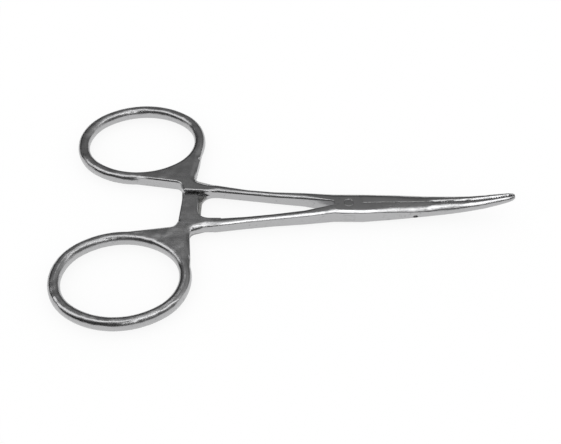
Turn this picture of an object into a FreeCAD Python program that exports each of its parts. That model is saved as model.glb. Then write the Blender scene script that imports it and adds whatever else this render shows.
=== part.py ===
import FreeCAD, Part
import math
import os

# Small curved hemostat forceps, closed on its ratchet.
# Two forged steel arms cross in a box joint: the thin tongue of one arm turns between the two
# cheeks of the other, on a pin that is flush with both cheeks. Each arm is one piece from its
# finger ring to the tip of its curved, cross-serrated jaw.
# Origin on the hinge axis at the underside of the box joint, +X towards the jaw tips, +Z up.
# The box arm has its ring on the +Y side and its jaw on the -Y side; the tongue arm crosses it.

# Finger rings: place and size of the oval along the middle of its wire; the arcs at its two
# ends have a radius of half the width less the tuck
ring_centre_back = 43.6
ring_centre_side = 18.65
ring_long = 24.8
ring_wide = 20.8
ring_end_tuck = 1.0
ring_wire_width = 2.34
ring_wire_thick = 2.58
ring_wire_round = 1.05
round_steps = 3

# Flat web from the ring to the neck of the shank, placed from the ring's centre
neck_ahead = 15.1
neck_inner = 3.5
neck_outer = 6.0
web_thick = 2.45
inner_bevel_wide = 0.5
inner_bevel_high = 0.22
outer_bevel_wide = 1.15
outer_bevel_high = 0.5
web_wall = 3.8
web_overlap = 0.4
web_wall_round = 0.5
web_rear_ahead = 9.3
web_rear_side = 6.0
web_rear_radius = 1.5
web_corner_ahead = 12.2
web_corner_side = 6.95
web_corner_radius = 1.3
web_flank_ahead = 12.85
web_flank_side = 13.0
web_flank_radius = 8.0

# Ratchet bars, placed from the ring's centre; one reaches over the mid-plane and one under it
bar_rear_ahead = 9.85
upper_bar_length = 3.6
lower_bar_length = 4.15
bar_reach = 2.75
bar_taper = 0.35
bar_corner = 0.6
bar_edge = 0.35
bar_blend = 2.4
bar_bury = 0.15
tooth_pitch = 1.1
tooth_depth = 0.45
tooth_count = 3

# Box joint
box_thick = 3.4
box_half_width = 2.6
box_half_length = 2.9
box_edge_wide = 1.2
box_edge_high = 0.6
cheek_radius = 2.8
tongue_thick = 1.2
pin_radius = 0.92
pin_rim = 0.08
shank_gap = 0.45
gap_round = 0.2

# Jaws
jaw_length = 32.65
root_length = 15.3
tip_half_width = 0.45
tip_half_thick = 0.32
tip_rise = 3.55
face_round = 0.05
edge_bevel_wide = 0.5
edge_bevel_high = 0.24
serration_pitch = 0.48
serration_depth = 0.26
serration_land = 0.04
dimple_ahead = 13.3
dimple_radius = 0.48
dimple_depth = 0.7

# Clearances of the running fits
joint_clearance = 0.04
pin_clearance = 0.03
jaw_clearance = 0.03
tooth_clearance = 0.02

# Shanks: share of the way from neck to box, inner edge, outer edge, thickness
box_arm_shank = [
    (0.08, 3.5, 5.45, 2.4),
    (0.31, 2.75, 4.2, 2.4),
    (0.53, 2.05, 3.5, 2.55),
    (0.77, 1.45, 3.15, 2.9),
]
tongue_arm_shank = [
    (0.08, 3.75, 5.9, 2.5),
    (0.31, 3.3, 4.95, 2.55),
    (0.53, 2.6, 4.15, 2.65),
    (0.77, 1.7, 3.45, 2.95),
]
shank_edge_share = 0.45
shank_edge_high = 0.5

# Jaw root: share of the way from box to root end, half width, centre rise, half thickness,
# width and height of the rounded outer edge
root_shape = [
    (0.44, 2.43, 0.25, 1.6, 1.3, 0.75),
    (0.76, 2.33, 0.45, 1.5, 1.9, 0.9),
    (1.0, 2.2, 0.6, 1.42, 1.85, 1.1),
]

# Jaw: share of the way from root end to tip, half width, centre rise, half thickness
jaw_shape = [
    (0.085, 2.09, 0.72, 1.4),
    (0.17, 1.98, 0.83, 1.38),
    (0.33, 1.8, 1.08, 1.25),
    (0.5, 1.57, 1.45, 1.12),
    (0.67, 1.37, 2.0, 1.0),
    (0.83, 1.1, 2.72, 0.86),
    (0.93, 0.88, 3.2, 0.72),
    (0.98, 0.68, 3.43, 0.56),
]
jaw_round_share = 0.9

mid = box_thick / 2
neck_x = neck_ahead - ring_centre_back
bar_rear_x = bar_rear_ahead - ring_centre_back
far = 1
near = -1


def point(x, y, z=0.0):
    return FreeCAD.Vector(x, y, z)


def line(start, end):
    return Part.LineSegment(start, end).toShape()


def rounded(start, corner, end):
    # quarter of an ellipse from start to end, in narrow flats that keep the long lofts light
    centre = start + end - corner
    places = []
    for number in range(round_steps + 1):
        angle = math.radians(90 * number / round_steps)
        places.append(centre + (start - centre) * math.cos(angle) + (end - centre) * math.sin(angle))
    return [line(*pair) for pair in zip(places, places[1:])]


def bevel(start, corner, end):
    # one flat in place of the rounded corner
    return [line(start, end)]


def parted_bevel(start, corner, end):
    # the same flat in as many parts as a rounded corner has, so that a loft can join the two
    places = []
    for number in range(round_steps + 1):
        places.append(start + (end - start) * (number / round_steps))
    return [line(*pair) for pair in zip(places, places[1:])]


def outline(corners):
    # closed outline through corners, each a point and the radius that rounds it
    stretches = []
    for number, (here, radius) in enumerate(corners):
        back = (corners[number - 1][0] - here).normalize()
        ahead = (corners[(number + 1) % len(corners)][0] - here).normalize()
        half = back.getAngle(ahead) / 2
        towards = (back + ahead).normalize()
        cut = radius / math.tan(half)
        middle = here + towards * (radius / math.sin(half) - radius)
        stretches.append((here + back * cut, middle, here + ahead * cut, radius))
    edges = []
    for number, (start, middle, end, radius) in enumerate(stretches):
        if radius > 0:
            edges.append(Part.Arc(start, middle, end).toShape())
        edges.append(line(end, stretches[(number + 1) % len(stretches)][0]))
    return edges


def prism(edges, low, high):
    face = Part.Face(Part.Wire(edges))
    face.translate(point(0, 0, low))
    return face.extrude(point(0, 0, high - low))


def cylinder(radius, low, high):
    return Part.makeCylinder(radius, high - low, point(0, 0, low))


def block(x, y, z):
    # box between the two limits given for each axis
    size = [abs(limits[1] - limits[0]) for limits in (x, y, z)]
    return Part.makeBox(size[0], size[1], size[2], point(min(x), min(y), min(z)))


def section(x, side, inner, outer, rise, thick, inner_round, outer_round,
            inner_edge=rounded, outer_edge=rounded):
    # outline across the tool at x, from the inner edge to the outer one on its side
    low = rise - thick / 2
    high = rise + thick / 2
    out_y, out_z = outer_round
    in_y, in_z = inner_round

    def at(y, z):
        return point(x, side * y, z)

    corners = [
        (inner_edge, at(inner + in_y, low), at(inner, low), at(inner, low + in_z)),
        (inner_edge, at(inner, high - in_z), at(inner, high), at(inner + in_y, high)),
        (outer_edge, at(outer - out_y, high), at(outer, high), at(outer, high - out_z)),
        (outer_edge, at(outer, low + out_z), at(outer, low), at(outer - out_y, low)),
    ]
    edges = []
    for number, (corner_edge, start, corner, end) in enumerate(corners):
        edges += corner_edge(start, corner, end)
        edges.append(line(end, corners[(number + 1) % 4][1]))
    return Part.Wire(edges)


def loft(wires):
    return Part.makeLoft(wires, True, True)


def join(shapes):
    # one solid from pieces that run into each other, added in turn
    body = shapes[0]
    for shape in shapes[1:]:
        body = body.fuse(shape)
    return body


def oval(side):
    # the four arcs along the middle of a ring's wire: radius, start and sweep, and centre
    wide = ring_wide / 2
    end_radius = wide - ring_end_tuck
    run = ring_long / 2 - end_radius
    side_radius = (wide ** 2 + run ** 2 - end_radius ** 2) / (2 * ring_end_tuck)
    drop = side_radius - wide
    turn = math.degrees(math.atan2(drop, run))
    centre = point(-ring_centre_back, side * ring_centre_side)
    return [
        (end_radius, -turn, 2 * turn, centre + point(run, 0)),
        (side_radius, turn, 180 - 2 * turn, centre + point(0, -drop)),
        (end_radius, 180 - turn, 2 * turn, centre + point(-run, 0)),
        (side_radius, 180 + turn, 180 - 2 * turn, centre + point(0, drop)),
    ]


def ring(side):
    # finger ring: the wire's rounded section turned along the oval, and the solid oval inside
    # the middle of the wire
    rim = (ring_wire_round, ring_wire_round)
    upright = point(0, 0, 1)
    pieces = []
    middle = []
    for radius, start, sweep, centre in oval(side):
        across = section(0, far, radius - ring_wire_width / 2, radius + ring_wire_width / 2,
                         0, ring_wire_thick, rim, rim)
        piece = Part.Face(across).revolve(point(0, 0), upright, sweep)
        piece.rotate(point(0, 0), upright, start - 90)
        piece.translate(centre)
        pieces.append(piece)
        places = []
        for share in (0, 0.5, 1):
            angle = math.radians(start + share * sweep)
            places.append(centre + point(radius * math.cos(angle), radius * math.sin(angle)))
        middle.append(Part.Arc(*places).toShape())
    half = ring_wire_thick / 2
    return join(pieces), prism(middle, -half, half)


def level_edges(shape, z):
    return [edge for edge in shape.Edges if edge.BoundBox.ZLength < 0.001
            and abs(edge.BoundBox.Center.z - z) < 0.001]


def neck_section(side):
    # outline across the neck, where the web's bevels run on as the shank's rounded edges
    wall_x = bar_rear_x + bar_taper
    corner_x = web_corner_ahead - ring_centre_back
    inner_slope = (web_wall - neck_inner) / (neck_x - wall_x)
    outer_slope = (web_corner_side - neck_outer) / (neck_x - corner_x)
    inner_bevel = (inner_bevel_wide * math.hypot(1, inner_slope), inner_bevel_high)
    outer_bevel = (outer_bevel_wide * math.hypot(1, outer_slope), outer_bevel_high)
    return section(neck_x, side, neck_inner, neck_outer, 0, web_thick, inner_bevel, outer_bevel,
                   parted_bevel, parted_bevel)


def web(side, core):
    # flat web that joins the ring to the shank; its wall faces the end of the other arm's bar
    bottom = ring_centre_side - ring_wide / 2
    inside = ring_wire_width / 2 - web_overlap

    def at(ahead, y):
        return point(ahead - ring_centre_back, side * y)

    corners = [
        (point(neck_x, side * neck_inner), 0),
        (point(bar_rear_x + bar_taper, side * web_wall), web_wall_round),
        (at(web_rear_ahead, web_rear_side), web_rear_radius),
        (at(0, bottom - inside), 0),
        (at(0, bottom + outer_bevel_wide), 0),
        (at(ring_long / 2 - outer_bevel_wide, ring_centre_side), 0),
        (at(ring_long / 2 + inside, ring_centre_side), 0),
        (at(web_flank_ahead, web_flank_side), web_flank_radius),
        (at(web_corner_ahead, web_corner_side), web_corner_radius),
        (point(neck_x, side * neck_outer), 0),
    ]
    plate = prism(outline(corners), -web_thick / 2, web_thick / 2)
    middle_x = (web_rear_ahead + web_corner_ahead) / 2 - ring_centre_back
    middle_y = (neck_inner + neck_outer) / 2
    bevelled = []
    for wide, high, outer in ((inner_bevel_wide, inner_bevel_high, False),
                              (outer_bevel_wide, outer_bevel_high, True)):
        rims = []
        for edge in level_edges(plate, web_thick / 2) + level_edges(plate, -web_thick / 2):
            place = edge.valueAt((edge.FirstParameter + edge.LastParameter) / 2)
            in_ring = core.isInside(point(place.x, place.y), 0.001, True)
            is_outer = place.x > middle_x and side * place.y > middle_y
            if not in_ring and place.x < neck_x - 0.01 and is_outer == outer:
                rims.append(edge)
        bevelled.append(plate.makeChamfer(high, wide, rims))
    return bevelled[0].common(bevelled[1]).cut(core)


def ratchet_bar(side):
    # bar that reaches across to the other arm, over it or under it, with its saw teeth
    length = lower_bar_length if side == far else upper_bar_length
    front = bar_rear_x + length
    face = -side * tooth_clearance
    outside = -side * web_thick / 2
    root = web_wall + inner_bevel_wide

    def at(x, y):
        return point(x, side * y, face)

    blend_side = neck_inner + bar_bury
    corners = [
        (at(front, blend_side), bar_blend),
        (at(front, -bar_reach), bar_corner),
        (at(bar_rear_x + bar_taper, -bar_reach), bar_corner),
        (at(bar_rear_x, root), 0),
        (at(front + 2 * bar_blend, root), 0),
        (at(front + 2 * bar_blend, blend_side), 0),
    ]
    bar = Part.Face(Part.Wire(outline(corners))).extrude(point(0, 0, outside - face))
    rims = []
    for edge in level_edges(bar, outside):
        middle = edge.CenterOfMass
        if side * middle.y < blend_side and middle.x < front + bar_blend:
            rims.append(edge)
    bar = bar.makeFillet(bar_edge, rims)
    first_tip = tooth_count * tooth_pitch / 2
    for number in range(tooth_count):
        tip = first_tip - number * tooth_pitch
        base = tip - tooth_pitch
        notch = [
            point(bar_rear_x, side * tip, face),
            point(bar_rear_x, side * base, face),
            point(bar_rear_x, side * base, face - side * tooth_depth),
        ]
        wedge = Part.Face(Part.makePolygon(notch + notch[:1]))
        bar = bar.cut(wedge.extrude(point(2 * length, 0, 0)))
    return bar


def shank(side, shape):
    # tapering shank from the web to the box joint
    wires = [neck_section(side)]
    for share, inner, outer, thick in shape:
        x = neck_x + share * (-box_half_length - neck_x)
        rim = (shank_edge_share * (outer - inner), shank_edge_high)
        wires.append(section(x, side, inner, outer, 0, thick, rim, rim))
    wires.append(section(-box_half_length, side, shank_gap, box_half_width, 0, box_thick,
                         (gap_round, gap_round), (box_edge_wide, box_edge_high)))
    return loft(wires)


def jaw(side):
    # thick root, then the curved jaw with its bevelled face edges and ridged face
    small = (face_round, face_round)
    wires = [section(box_half_length, side, jaw_clearance, box_half_width, 0, box_thick,
                     small, (box_edge_wide, box_edge_high), bevel)]
    for share, width, rise, half, round_y, round_z in root_shape:
        x = box_half_length + share * (root_length - box_half_length)
        wires.append(section(x, side, jaw_clearance, width, rise, 2 * half,
                             small, (round_y, round_z), bevel))
    root = loft(wires)
    ridge = jaw_clearance - serration_depth / 2
    width, rise, half, round_y, round_z = root_shape[-1][1:]
    wires = [section(root_length, side, ridge, width, rise, 2 * half, small, (round_y, round_z),
                     bevel)]
    for x, width, rise, half in jaw_places():
        rim = (edge_bevel_wide * min(1, half), edge_bevel_high * min(1, half))
        rounding = jaw_round_share * min(width - rim[0], half)
        wires.append(section(x, side, ridge, width, rise, 2 * half,
                             rim, (rounding, jaw_round_share * half), bevel))
    return join([root, loft(wires[:2]), loft(wires[1:])])


def jaw_places():
    # sections of the curved jaw with their places along the tool
    places = []
    for share, width, rise, half in jaw_shape:
        places.append((root_length + share * (jaw_length - root_length), width, rise, half))
    places.append((jaw_length, tip_half_width, tip_rise, tip_half_thick))
    return places


def jaw_rise(x):
    # height of the middle of the jaws above the middle of the tool at x
    places = [(root_length, root_shape[-1][2])]
    for ahead, width, rise, half in jaw_places():
        places.append((ahead, rise))
    for (x0, rise0), (x1, rise1) in zip(places, places[1:]):
        if x <= x1:
            break
    return rise0 + (rise1 - rise0) * (x - x0) / (x1 - x0)


def serrations(side):
    # V grooves across one jaw's face; the other jaw's ridges stand in them
    face = jaw_clearance - serration_depth / 2
    outside = face - serration_depth
    half = (serration_pitch - serration_land) / 2
    grooves = []
    x = root_length
    if side == far:
        x += serration_pitch / 2
    while x < jaw_length + serration_pitch:
        climb = jaw_rise(x + serration_pitch) - jaw_rise(x - serration_pitch)
        slope = math.atan(climb / (2 * serration_pitch))
        along = point(math.cos(slope), 0, math.sin(slope))
        up = point(-math.sin(slope), 0, math.cos(slope))
        start = point(x, 0, jaw_rise(x)) - up * box_thick
        outline = []
        for share, y in ((-1, outside), (-1, face), (0, face + serration_depth),
                         (1, face), (1, outside)):
            outline.append(start + along * (share * half) + point(0, side * y))
        groove = Part.Face(Part.makePolygon(outline + outline[:1]))
        grooves.append(groove.extrude(up * (2 * box_thick)))
        x += serration_pitch * math.cos(slope)
    return grooves


def box_block():
    # straight middle of the closed joint, full width
    rim = (box_edge_wide, box_edge_high)
    outlines = []
    for x in (-box_half_length, box_half_length):
        outlines.append(section(x, far, -box_half_width, box_half_width, 0, box_thick, rim, rim))
    return Part.makeLoft(outlines, True, True)


def quadrants(side, thick):
    # the two corners of the box joint that an arm fills at full thickness
    reach = 2 * box_half_width
    back = block((-box_half_length, 0), (side * shank_gap, side * reach), (-thick, thick))
    front = block((0, box_half_length), (-side * jaw_clearance, -side * reach), (-thick, thick))
    return back.fuse(front)


def pin_rims():
    # fine countersinks round the two ends of the pin
    wide = pin_radius + pin_rim
    upper = Part.makeCone(pin_radius, wide, pin_rim, point(0, 0, mid - pin_rim))
    lower = Part.makeCone(wide, pin_radius, pin_rim, point(0, 0, -mid))
    return [upper, lower]


def box_arm():
    band, core = ring(far)
    cheeks = cylinder(cheek_radius, -mid, mid).fuse(quadrants(far, mid))
    body = join([band, web(far, core), ratchet_bar(far), shank(far, box_arm_shank), jaw(near),
                 box_block().common(cheeks)])
    slot_half = tongue_thick / 2 + joint_clearance
    body = body.cut(cylinder(cheek_radius + 2 * joint_clearance, -slot_half, slot_half))
    body = body.cut(serrations(near))
    dimple_side = root_shape[-1][1] - dimple_depth
    dimple = Part.makeCylinder(dimple_radius, box_half_width, point(dimple_ahead, near * dimple_side),
                               point(0, near))
    return body.cut([cylinder(pin_radius, -mid, mid), dimple] + pin_rims())


def tongue_arm():
    band, core = ring(near)
    outer = cheek_radius + joint_clearance
    middle = cylinder(outer, -mid, mid).fuse(quadrants(near, mid))
    body = join([band, web(near, core), ratchet_bar(near), shank(near, tongue_arm_shank), jaw(far),
                 box_block().common(middle)])
    body = body.cut(cylinder(outer, tongue_thick / 2, mid))
    body = body.cut(cylinder(outer, -mid, -tongue_thick / 2))
    body = body.cut(serrations(far))
    return body.cut(cylinder(pin_radius + pin_clearance, -mid, mid))


def hinge_pin():
    pin = cylinder(pin_radius, -mid, mid)
    return pin.makeChamfer(pin_rim, [edge for edge in pin.Edges if edge.isClosed()])


def save(name, shape):
    shape = shape.removeSplitter()
    shape.translate(point(0, 0, mid))
    print(name, shape.isValid(), len(shape.Solids), round(shape.Volume, 2), shape.BoundBox)
    shape.exportStep("parts/" + name + ".step")


os.makedirs("parts", exist_ok=True)
save("box_arm", box_arm())
save("tongue_arm", tongue_arm())
save("hinge_pin", hinge_pin())
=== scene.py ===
import math

import bmesh
import bpy
from mathutils import Matrix, Vector


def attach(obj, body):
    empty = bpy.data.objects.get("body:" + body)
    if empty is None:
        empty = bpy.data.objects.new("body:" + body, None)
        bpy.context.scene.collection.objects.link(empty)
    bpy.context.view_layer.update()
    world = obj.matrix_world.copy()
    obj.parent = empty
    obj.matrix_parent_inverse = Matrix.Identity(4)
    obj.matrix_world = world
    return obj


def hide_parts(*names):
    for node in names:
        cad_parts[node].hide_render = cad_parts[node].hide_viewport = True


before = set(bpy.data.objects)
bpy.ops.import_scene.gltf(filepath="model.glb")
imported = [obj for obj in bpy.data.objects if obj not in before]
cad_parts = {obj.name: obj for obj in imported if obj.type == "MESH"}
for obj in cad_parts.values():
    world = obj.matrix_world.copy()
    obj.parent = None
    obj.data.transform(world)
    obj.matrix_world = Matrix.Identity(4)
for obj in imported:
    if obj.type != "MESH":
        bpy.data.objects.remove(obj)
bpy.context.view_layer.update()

# Small curved hemostat forceps, closed on the ratchet, lying on a white table.
# Metres, +X to the jaw tips, +Z up, the hinge axis through the origin.
mm = 0.001
white = (1, 1, 1, 1)


def link(tree, source, target):
    tree.links.new(source, target)


def newNode(tree, kind, **values):
    node = tree.nodes.new(kind)
    for key, value in values.items():
        setattr(node, key, value)
    return node


def setValues(node, values):
    for label, value in values.items():
        node.inputs[label].default_value = value


def mathNode(tree, operation, first, second):
    node = newNode(tree, "ShaderNodeMath", operation=operation)
    for socket, value in zip(node.inputs, (first, second)):
        if isinstance(value, (int, float)):
            socket.default_value = value
        else:
            link(tree, value, socket)
    return node.outputs[0]


def vectorNode(tree, operation, *sources):
    node = newNode(tree, "ShaderNodeVectorMath", operation=operation)
    for socket, source in zip(node.inputs, sources):
        link(tree, source, socket)
    return node


def rangeNode(tree, value, span, kind="LINEAR"):
    # 0 at the first number of the span and 1 at the second
    node = newNode(tree, "ShaderNodeMapRange", interpolation_type=kind)
    setValues(node, {"From Min": span[0], "From Max": span[1]})
    link(tree, value, node.inputs["Value"])
    return node


def noiseNode(tree, place, look, scale=None):
    # the scale stands in the look, or comes from a socket
    node = newNode(tree, "ShaderNodeTexNoise")
    setValues(node, look)
    link(tree, place, node.inputs["Vector"])
    if scale is not None:
        link(tree, scale, node.inputs["Scale"])
    return node.outputs["Fac"]


def colourMix(tree, amount, base, over):
    node = newNode(tree, "ShaderNodeMix", data_type="RGBA")
    link(tree, amount, node.inputs[0])
    for label, colour in (("A", base), ("B", over)):
        if isinstance(colour, tuple):
            node.inputs[label].default_value = (*colour, 1)
        else:
            link(tree, colour, node.inputs[label])
    return node.outputs[2]


def newGroup(name, inputs, outputs):
    tree = bpy.data.node_groups.new(name, "ShaderNodeTree")
    for label, kind in inputs:
        tree.interface.new_socket(name=label, in_out="INPUT", socket_type=kind)
    for label in outputs:
        tree.interface.new_socket(name=label, in_out="OUTPUT", socket_type="NodeSocketFloat")
    return tree, tree.nodes.new("NodeGroupInput"), tree.nodes.new("NodeGroupOutput")


def newMaterial(name):
    material = bpy.data.materials.new(name)
    material.use_nodes = True
    tree = material.node_tree
    tree.nodes.clear()
    return material, tree, newNode(tree, "ShaderNodeOutputMaterial").inputs["Surface"]


def buildWorld():
    # plain white light from all sides, which also shows past the table and the tent's ends
    world = bpy.data.worlds.new("studio")
    bpy.context.scene.world = world
    world.use_nodes = True
    setValues(world.node_tree.nodes["Background"], {"Color": white, "Strength": 1.0})
    print("world ready")


table = {
    "size": 3000 * mm,
    "drop": 0.02 * mm,         # keeps the table clear of the box joint's flat underside
    "plainWhite": 0.85,        # the rest of the table's white is paper, which takes the shadow
}


def buildTable():
    half = table["size"] / 2
    level = -table["drop"]
    corners = [(x, y, level) for x, y in ((-half, -half), (half, -half), (half, half),
                                          (-half, half))]
    mesh = bpy.data.meshes.new("table")
    mesh.from_pydata(corners, [], [(0, 1, 2, 3)])
    top = bpy.data.objects.new("table", mesh)
    bpy.context.scene.collection.objects.link(top)
    material, tree, surface = newMaterial("whiteTable")
    paper = newNode(tree, "ShaderNodeBsdfDiffuse")
    setValues(paper, {"Color": white})
    glow = newNode(tree, "ShaderNodeEmission")
    setValues(glow, {"Color": white})
    rays = newNode(tree, "ShaderNodeLightPath")
    # the camera and the steel see the same white
    seenPlain = mathNode(tree, "ADD", rays.outputs["Is Camera Ray"], rays.outputs["Is Glossy Ray"])
    seenPlain = mathNode(tree, "ADD", seenPlain, rays.outputs["Is Transmission Ray"])
    plain = newNode(tree, "ShaderNodeMixShader")
    link(tree, mathNode(tree, "MULTIPLY", seenPlain, table["plainWhite"]), plain.inputs["Fac"])
    link(tree, paper.outputs["BSDF"], plain.inputs[1])
    link(tree, glow.outputs["Emission"], plain.inputs[2])
    side = newNode(tree, "ShaderNodeNewGeometry")
    clear = newNode(tree, "ShaderNodeBsdfTransparent")
    bothSides = newNode(tree, "ShaderNodeMixShader")      # from below, the table is see-through
    link(tree, side.outputs["Backfacing"], bothSides.inputs["Fac"])
    link(tree, plain.outputs["Shader"], bothSides.inputs[1])
    link(tree, clear.outputs["BSDF"], bothSides.inputs[2])
    link(tree, bothSides.outputs["Shader"], surface)
    mesh.materials.append(material)
    print("table ready")


def arcMesh(name, away, first, last, start, end, steps):
    # part of a tube round the X axis; degrees run from the far horizon over the top
    points = []
    for step in range(steps + 1):
        turn = math.radians(first + (last - first) * step / steps)
        for x in (start, end):
            points.append((x, away * math.cos(turn), away * math.sin(turn)))
    faces = [(2 * n, 2 * n + 1, 2 * n + 3, 2 * n + 2) for n in range(steps)]
    mesh = bpy.data.meshes.new(name)
    mesh.from_pydata(points, [], faces)
    return mesh


def seenInSteelOnly(name, mesh):
    # out of the camera's sight, and the table keeps its even light
    piece = bpy.data.objects.new(name, mesh)
    bpy.context.scene.collection.objects.link(piece)
    piece.visible_camera = False
    piece.visible_diffuse = False
    piece.visible_shadow = False


tent = {
    "away": 700 * mm,
    "halfLength": 2800 * mm,
    "steps": 24,
    # brightness by degrees from the far horizon over the top to the near one
    "levels": [(0, 0.08), (30, 0.13), (46, 0.245), (58, 0.235), (90, 0.26), (114, 0.13),
               (150, 0.07), (180, 0.14)],
    "towardsTips": 0.9,        # share by which the tips' end is lighter and the rings' darker
}


def buildTent():
    # a dim tent over the table, which gives the polished steel its dark and light zones
    material, tree, surface = newMaterial("tent")
    place = newNode(tree, "ShaderNodeTexCoord")
    aim = vectorNode(tree, "NORMALIZE", place.outputs["Object"])
    split = newNode(tree, "ShaderNodeSeparateXYZ")
    link(tree, aim.outputs["Vector"], split.inputs["Vector"])
    angle = mathNode(tree, "ARCTAN2", split.outputs["Z"], split.outputs["Y"])
    ramp = newNode(tree, "ShaderNodeValToRGB")
    stops = ramp.color_ramp.elements
    while len(stops) > 1:
        stops.remove(stops[-1])
    for number, (degrees, level) in enumerate(tent["levels"]):
        share = math.radians(degrees) / math.pi
        stop = stops[0] if number == 0 else stops.new(share)
        stop.position = share
        stop.color = (level, level, level, 1)
    link(tree, mathNode(tree, "DIVIDE", angle, math.pi), ramp.inputs["Fac"])
    glow = newNode(tree, "ShaderNodeEmission")
    link(tree, ramp.outputs["Color"], glow.inputs["Color"])
    lean = mathNode(tree, "MULTIPLY", split.outputs["X"], tent["towardsTips"])
    link(tree, mathNode(tree, "ADD", lean, 1.0), glow.inputs["Strength"])
    link(tree, glow.outputs["Emission"], surface)
    mesh = arcMesh("tent", tent["away"], 0, 180, -tent["halfLength"], tent["halfLength"],
                   tent["steps"])
    mesh.materials.append(material)
    seenInSteelOnly("tent", mesh)
    print("tent ready")


cards = {
    "steps": 6,
    # soft light cards and dark flags on arcs round the tool: name, distance, from and to in
    # degrees as for the tent, from and to along the tool, brightness
    "places": [
        ("cardBehind", 500 * mm, 66, 106, -900 * mm, -300 * mm, 1.55),
        ("cardOverTips", 500 * mm, 72, 102, -300 * mm, -62 * mm, 1.55),
        ("cardOverJaws", 500 * mm, 78, 118, -62 * mm, -22 * mm, 2.9),
        ("cardOverBox", 500 * mm, 80, 130, -22 * mm, 38 * mm, 3.0),
        ("cardOverShanks", 500 * mm, 98, 152, 38 * mm, 90 * mm, 3.0),
        ("cardAhead", 500 * mm, 88, 104, 90 * mm, 900 * mm, 2.2),
        ("cardOverRings", 160 * mm, 61, 100, -62 * mm, -27 * mm, 1.1),
        ("flagFarOfRings", 160 * mm, 44, 61, -62 * mm, -27 * mm, 0.22),
        ("flagNearOfRings", 160 * mm, 100, 126, -62 * mm, -27 * mm, 0.09),
    ],
}


def buildCards():
    # most are named after the part of the tool that shows them to the camera
    for name, away, first, last, start, end, level in cards["places"]:
        material, tree, surface = newMaterial(name)
        glow = newNode(tree, "ShaderNodeEmission")
        setValues(glow, {"Color": white, "Strength": level})
        link(tree, glow.outputs["Emission"], surface)
        mesh = arcMesh(name, away, first, last, start, end, cards["steps"])
        mesh.materials.append(material)
        seenInSteelOnly(name, mesh)
    print(len(cards["places"]), "light cards ready")


photoCamera = {
    "place": (-9.86 * mm, -131.76 * mm, 141.96 * mm),
    "azimuth": 1.652,          # degrees, as are the next two
    "elevation": 47.614,
    "roll": -0.974,
    "lens": 61.45,
    "sensor": 36.0,
    "nearest": 1 * mm,
}


def buildCamera():
    turn, lift, roll = (math.radians(photoCamera[key]) for key in ("azimuth", "elevation", "roll"))
    back = Vector((math.sin(turn) * math.cos(lift), -math.cos(turn) * math.cos(lift),
                   math.sin(lift)))
    level = Vector((math.cos(turn), math.sin(turn), 0))
    upright = back.cross(level)
    right = math.cos(roll) * level + math.sin(roll) * upright
    up = -math.sin(roll) * level + math.cos(roll) * upright
    data = bpy.data.cameras.new("photoCamera")
    data.lens = photoCamera["lens"]
    data.sensor_width = photoCamera["sensor"]
    data.clip_start = photoCamera["nearest"]
    camera = bpy.data.objects.new("photoCamera", data)
    bpy.context.scene.collection.objects.link(camera)
    axes = Matrix((right, up, back)).transposed().to_4x4()
    camera.matrix_world = Matrix.Translation(photoCamera["place"]) @ axes
    bpy.context.scene.camera = camera
    print("camera ready")


# the polish that all three pieces share
polish = {
    "grainAlong": 110.0,       # changes in the belt's stripes, per metre along the tool
    "grainAcross": 2600.0,     # stripes per metre across the tool
    "grainNoise": {"Scale": 1.0, "Detail": 5.0, "Roughness": 0.65},
    "grainDepth": 0.012 * mm,
    "pitSize": 1500.0,         # spots per metre, as for smudges and waves
    "pitNoise": {"Detail": 3.0},
    "pitDepth": 0.003 * mm,
    "pitSpan": (0.22, 0.36),   # noise below the first number is a full pit
    "pitColour": (0.23, 0.23, 0.24),
    "smudgeSize": 160.0,
    "smudgeNoise": {"Detail": 4.0, "Distortion": 0.6},
    "waveSize": 330.0,         # hand polishing leaves the surface a little wavy
    "waveNoise": {"Detail": 1.0},
    "waveDepth": 0.08 * mm,
    "unevenSpan": (0.7, 1.3),  # smudge and grain together, from smoothest to roughest
    "roughnessSpread": 0.12,
}
edges = {
    "radius": 0.12 * mm,
    "samples": 4,
    "bendSpan": (0.995, 0.90),   # cosine between the rounded normal and the plain one
    "outerSpan": (0.47, 0.53),   # pointiness above a half is an outward edge
    "colour": (0.60, 0.60, 0.60),
}
# the finger rings have the duller, more uneven finish
rings = {
    "middle": (-50 * mm, 0, 0),
    "halfSize": (15 * mm, 40 * mm, 40 * mm),
    "fade": 5 * mm,
    "roughness": 0.06,
    "waves": 2.2,
}
# painted shade sits between the two ratchet bars: a darker, duller patch that stands in for the
# shade in their gap
paintedBarShade = {
    "middle": (-31.5 * mm, 0, 1.7 * mm),
    "halfSize": (3.4 * mm, 3.0 * mm, 0.5 * mm),
    "fade": 0.25 * mm,
    "roughness": 0.18,
    "colour": (0.21, 0.21, 0.205),
}


def polishGrain():
    # fine lines left by the polishing belt, along the tool
    tree, given, made = newGroup("polishGrain", [
        ("Along", "NodeSocketFloat"),
        ("Across", "NodeSocketFloat"),
    ], ["Grain"])
    place = newNode(tree, "ShaderNodeTexCoord")
    scale = newNode(tree, "ShaderNodeCombineXYZ")
    link(tree, given.outputs["Along"], scale.inputs["X"])
    link(tree, given.outputs["Across"], scale.inputs["Y"])
    link(tree, given.outputs["Across"], scale.inputs["Z"])
    stretched = vectorNode(tree, "MULTIPLY", place.outputs["Object"], scale.outputs["Vector"])
    grain = noiseNode(tree, stretched.outputs["Vector"], polish["grainNoise"])
    link(tree, grain, made.inputs["Grain"])
    return tree


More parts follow.
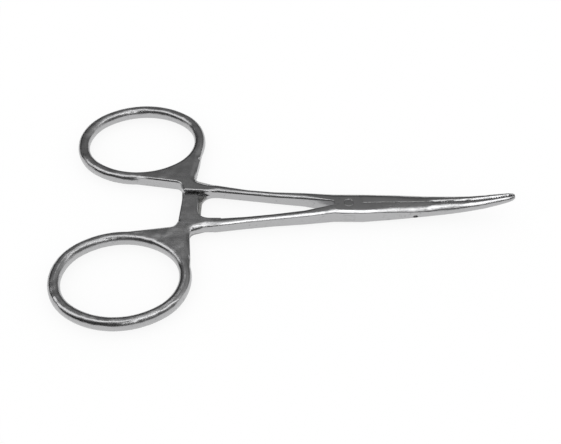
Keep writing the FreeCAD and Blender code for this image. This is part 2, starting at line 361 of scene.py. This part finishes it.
def fineMottle():
    # tiny pits, faint finger smudges and the waviness of the polish
    tree, given, made = newGroup("fineMottle", [
        ("Pit Size", "NodeSocketFloat"),
        ("Smudge Size", "NodeSocketFloat"),
        ("Wave Size", "NodeSocketFloat"),
    ], ["Pits", "Smudge", "Waves"])
    place = newNode(tree, "ShaderNodeTexCoord")
    for size, look, label in (("Pit Size", "pitNoise", "Pits"),
                              ("Smudge Size", "smudgeNoise", "Smudge"),
                              ("Wave Size", "waveNoise", "Waves")):
        noise = noiseNode(tree, place.outputs["Object"], polish[look], given.outputs[size])
        link(tree, noise, made.inputs[label])
    return tree


def rubbedEdge():
    # 1 along the outward edges, where handling and cleaning keep the steel bright
    tree, given, made = newGroup("rubbedEdge", [
        ("Radius", "NodeSocketFloat"),
        ("Breakup", "NodeSocketFloat"),
    ], ["Mask"])
    rounded = newNode(tree, "ShaderNodeBevel", samples=edges["samples"])
    link(tree, given.outputs["Radius"], rounded.inputs["Radius"])
    surface = newNode(tree, "ShaderNodeNewGeometry")
    match = vectorNode(tree, "DOT_PRODUCT", rounded.outputs["Normal"], surface.outputs["Normal"])
    bend = rangeNode(tree, match.outputs["Value"], edges["bendSpan"], "SMOOTHSTEP")
    outer = rangeNode(tree, surface.outputs["Pointiness"], edges["outerSpan"], "SMOOTHSTEP")
    mask = mathNode(tree, "MULTIPLY", bend.outputs["Result"], outer.outputs["Result"])
    link(tree, mathNode(tree, "MULTIPLY", mask, given.outputs["Breakup"]), made.inputs["Mask"])
    return tree


def nearPlace():
    # 1 inside a box given by its middle and half size, fading out over a short way
    tree, given, made = newGroup("nearPlace", [
        ("Middle", "NodeSocketVector"),
        ("Half Size", "NodeSocketVector"),
        ("Fade", "NodeSocketFloat"),
    ], ["Mask"])
    place = newNode(tree, "ShaderNodeTexCoord")
    offset = vectorNode(tree, "SUBTRACT", place.outputs["Object"], given.outputs["Middle"])
    size = vectorNode(tree, "ABSOLUTE", offset.outputs["Vector"])
    outside = vectorNode(tree, "SUBTRACT", size.outputs["Vector"], given.outputs["Half Size"])
    split = newNode(tree, "ShaderNodeSeparateXYZ")
    link(tree, outside.outputs["Vector"], split.inputs["Vector"])
    worst = mathNode(tree, "MAXIMUM", split.outputs["X"], split.outputs["Y"])
    worst = mathNode(tree, "MAXIMUM", worst, split.outputs["Z"])
    fade = rangeNode(tree, worst, (0.0, 1.0), "SMOOTHSTEP")
    setValues(fade, {"To Min": 1.0, "To Max": 0.0})
    link(tree, given.outputs["Fade"], fade.inputs["From Max"])
    link(tree, fade.outputs["Result"], made.inputs["Mask"])
    return tree


def placeMask(tree, box):
    mask = newNode(tree, "ShaderNodeGroup", node_tree=placeTree)
    setValues(mask, {"Middle": box["middle"], "Half Size": box["halfSize"], "Fade": box["fade"]})
    return mask.outputs["Mask"]


def steelMaterial(name, colour, roughness):
    material, tree, surface = newMaterial(name)
    shader = newNode(tree, "ShaderNodeBsdfPrincipled")
    setValues(shader, {"Metallic": 1.0})
    link(tree, shader.outputs["BSDF"], surface)
    grain = newNode(tree, "ShaderNodeGroup", node_tree=grainTree)
    setValues(grain, {"Along": polish["grainAlong"], "Across": polish["grainAcross"]})
    mottle = newNode(tree, "ShaderNodeGroup", node_tree=mottleTree)
    setValues(mottle, {"Pit Size": polish["pitSize"], "Smudge Size": polish["smudgeSize"],
                       "Wave Size": polish["waveSize"]})
    wear = newNode(tree, "ShaderNodeGroup", node_tree=edgeTree)
    setValues(wear, {"Radius": edges["radius"]})
    link(tree, mottle.outputs["Smudge"], wear.inputs["Breakup"])
    onRings = placeMask(tree, rings)
    # where the painted shade between the ratchet bars goes
    inPaintedBarShade = placeMask(tree, paintedBarShade)

    uneven = mathNode(tree, "ADD", mottle.outputs["Smudge"], grain.outputs["Grain"])
    rough = rangeNode(tree, uneven, polish["unevenSpan"])
    setValues(rough, {"To Min": roughness, "To Max": roughness + polish["roughnessSpread"]})
    matt = mathNode(tree, "ADD", mathNode(tree, "MULTIPLY", onRings, rings["roughness"]),
                    mathNode(tree, "MULTIPLY", inPaintedBarShade, paintedBarShade["roughness"]))
    link(tree, mathNode(tree, "ADD", rough.outputs["Result"], matt), shader.inputs["Roughness"])

    shade = rangeNode(tree, mottle.outputs["Pits"], polish["pitSpan"])
    tint = colourMix(tree, shade.outputs["Result"], polish["pitColour"], colour)
    tint = colourMix(tree, wear.outputs["Mask"], tint, edges["colour"])
    # painted shade darkens the steel between the ratchet bars
    tint = colourMix(tree, inPaintedBarShade, tint, paintedBarShade["colour"])
    link(tree, tint, shader.inputs["Base Color"])

    lines = mathNode(tree, "MULTIPLY", grain.outputs["Grain"], polish["grainDepth"])
    pits = mathNode(tree, "MULTIPLY", mottle.outputs["Pits"], polish["pitDepth"])
    deeper = mathNode(tree, "ADD", mathNode(tree, "MULTIPLY", onRings, rings["waves"]), 1.0)
    waves = mathNode(tree, "MULTIPLY", mathNode(tree, "MULTIPLY", deeper, polish["waveDepth"]),
                     mottle.outputs["Waves"])
    height = mathNode(tree, "ADD", mathNode(tree, "ADD", lines, pits), waves)
    bump = newNode(tree, "ShaderNodeBump")
    setValues(bump, {"Distance": 1.0})
    link(tree, height, bump.inputs["Height"])
    link(tree, bump.outputs["Normal"], shader.inputs["Normal"])
    print(name, "ready")
    return material


skin = {
    "mergeDistance": 0.0005 * mm,
    "sharpAngle": math.radians(72),
    "flatAngle": math.radians(0.3),
    "flatWeight": 50,          # how strongly the broad faces keep their own normals
}


def skinTree():
    # closes the loose triangles of a solid and keeps its real edges sharp
    tree = bpy.data.node_groups.new("forgingSkin", "GeometryNodeTree")
    face = tree.interface
    face.new_socket(name="Geometry", in_out="INPUT", socket_type="NodeSocketGeometry")
    for label, kind in (("Solid", "NodeSocketObject"), ("Merge Distance", "NodeSocketFloat"),
                        ("Sharp Angle", "NodeSocketFloat"), ("Finish", "NodeSocketMaterial")):
        face.new_socket(name=label, in_out="INPUT", socket_type=kind)
    face.new_socket(name="Geometry", in_out="OUTPUT", socket_type="NodeSocketGeometry")
    given = newNode(tree, "NodeGroupInput")
    made = newNode(tree, "NodeGroupOutput")
    solid = newNode(tree, "GeometryNodeObjectInfo")
    link(tree, given.outputs["Solid"], solid.inputs["Object"])
    merge = newNode(tree, "GeometryNodeMergeByDistance")
    link(tree, solid.outputs["Geometry"], merge.inputs["Geometry"])
    link(tree, given.outputs["Merge Distance"], merge.inputs["Distance"])
    smooth = newNode(tree, "GeometryNodeSetShadeSmooth", domain="FACE")
    link(tree, merge.outputs["Geometry"], smooth.inputs["Geometry"])
    angle = newNode(tree, "GeometryNodeInputMeshEdgeAngle")
    isSharp = newNode(tree, "FunctionNodeCompare", operation="GREATER_THAN")
    link(tree, angle.outputs["Unsigned Angle"], isSharp.inputs[0])
    link(tree, given.outputs["Sharp Angle"], isSharp.inputs[1])
    sharpen = newNode(tree, "GeometryNodeSetShadeSmooth", domain="EDGE")
    setValues(sharpen, {"Shade Smooth": False})
    link(tree, smooth.outputs["Geometry"], sharpen.inputs["Geometry"])
    link(tree, isSharp.outputs["Result"], sharpen.inputs["Selection"])
    real = newNode(tree, "GeometryNodeRealizeInstances")
    link(tree, sharpen.outputs["Geometry"], real.inputs["Geometry"])
    paint = newNode(tree, "GeometryNodeSetMaterial")
    link(tree, real.outputs["Geometry"], paint.inputs["Geometry"])
    link(tree, given.outputs["Finish"], paint.inputs["Material"])
    link(tree, paint.outputs["Geometry"], made.inputs["Geometry"])
    return tree


def setInputs(modifier, values):
    for item in modifier.node_group.interface.items_tree:
        if item.item_type == "SOCKET" and item.in_out == "INPUT" and item.name in values:
            modifier[item.identifier] = values[item.name]


def plainMesh(thing):
    # the mesh that the object's modifiers make
    bpy.context.view_layer.update()
    graph = bpy.context.evaluated_depsgraph_get()
    return bpy.data.meshes.new_from_object(thing.evaluated_get(graph), depsgraph=graph)


def joinFlats(mesh):
    # each flat becomes one face, so that its shading stays even
    work = bmesh.new()
    work.from_mesh(mesh)
    bmesh.ops.dissolve_limit(work, angle_limit=skin["flatAngle"], verts=work.verts,
                             edges=work.edges, delimit={"SHARP"})
    work.to_mesh(mesh)
    work.free()


def dress(name, node, body, material):
    # a finished copy of a CAD node, which then stands for it
    blank = bpy.data.objects.new(name + "Maker", bpy.data.meshes.new(name + "Maker"))
    bpy.context.scene.collection.objects.link(blank)
    modifier = blank.modifiers.new("skin", "NODES")
    modifier.node_group = forgingSkin
    setInputs(modifier, {
        "Solid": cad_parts[node],
        "Merge Distance": skin["mergeDistance"],
        "Sharp Angle": skin["sharpAngle"],
        "Finish": material,
    })
    mesh = plainMesh(blank)
    bpy.data.objects.remove(blank)
    joinFlats(mesh)
    piece = bpy.data.objects.new(name, mesh)
    bpy.context.scene.collection.objects.link(piece)
    weigh = piece.modifiers.new("flats", "WEIGHTED_NORMAL")
    weigh.weight = skin["flatWeight"]
    weigh.keep_sharp = True
    mesh = plainMesh(piece)
    piece.modifiers.clear()
    piece.data = mesh
    mesh.name = name
    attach(piece, body)
    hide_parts(node)
    print(name, len(mesh.vertices), "points", len(mesh.polygons), "faces")


bpy.context.scene.view_settings.view_transform = "Standard"
buildWorld()
buildTent()
buildTable()
buildCards()
buildCamera()
grainTree = polishGrain()
mottleTree = fineMottle()
placeTree = nearPlace()
edgeTree = rubbedEdge()
forgingSkin = skinTree()

# the two forged arms share one steel
armFinish = {
    "colour": (0.46, 0.46, 0.465),
    "roughness": 0.16,
}
armSteel = steelMaterial("armSteel", armFinish["colour"], armFinish["roughness"])
dress("boxArm", "box_arm", "box_arm", armSteel)
dress("tongueArm", "tongue_arm", "tongue_arm", armSteel)

# the pin's ends are a little darker and duller
pinFinish = {
    "colour": (0.37, 0.37, 0.375),
    "roughness": 0.24,
}
pinSteel = steelMaterial("pinSteel", pinFinish["colour"], pinFinish["roughness"])
dress("hingePin", "hinge_pin", "box_arm", pinSteel)
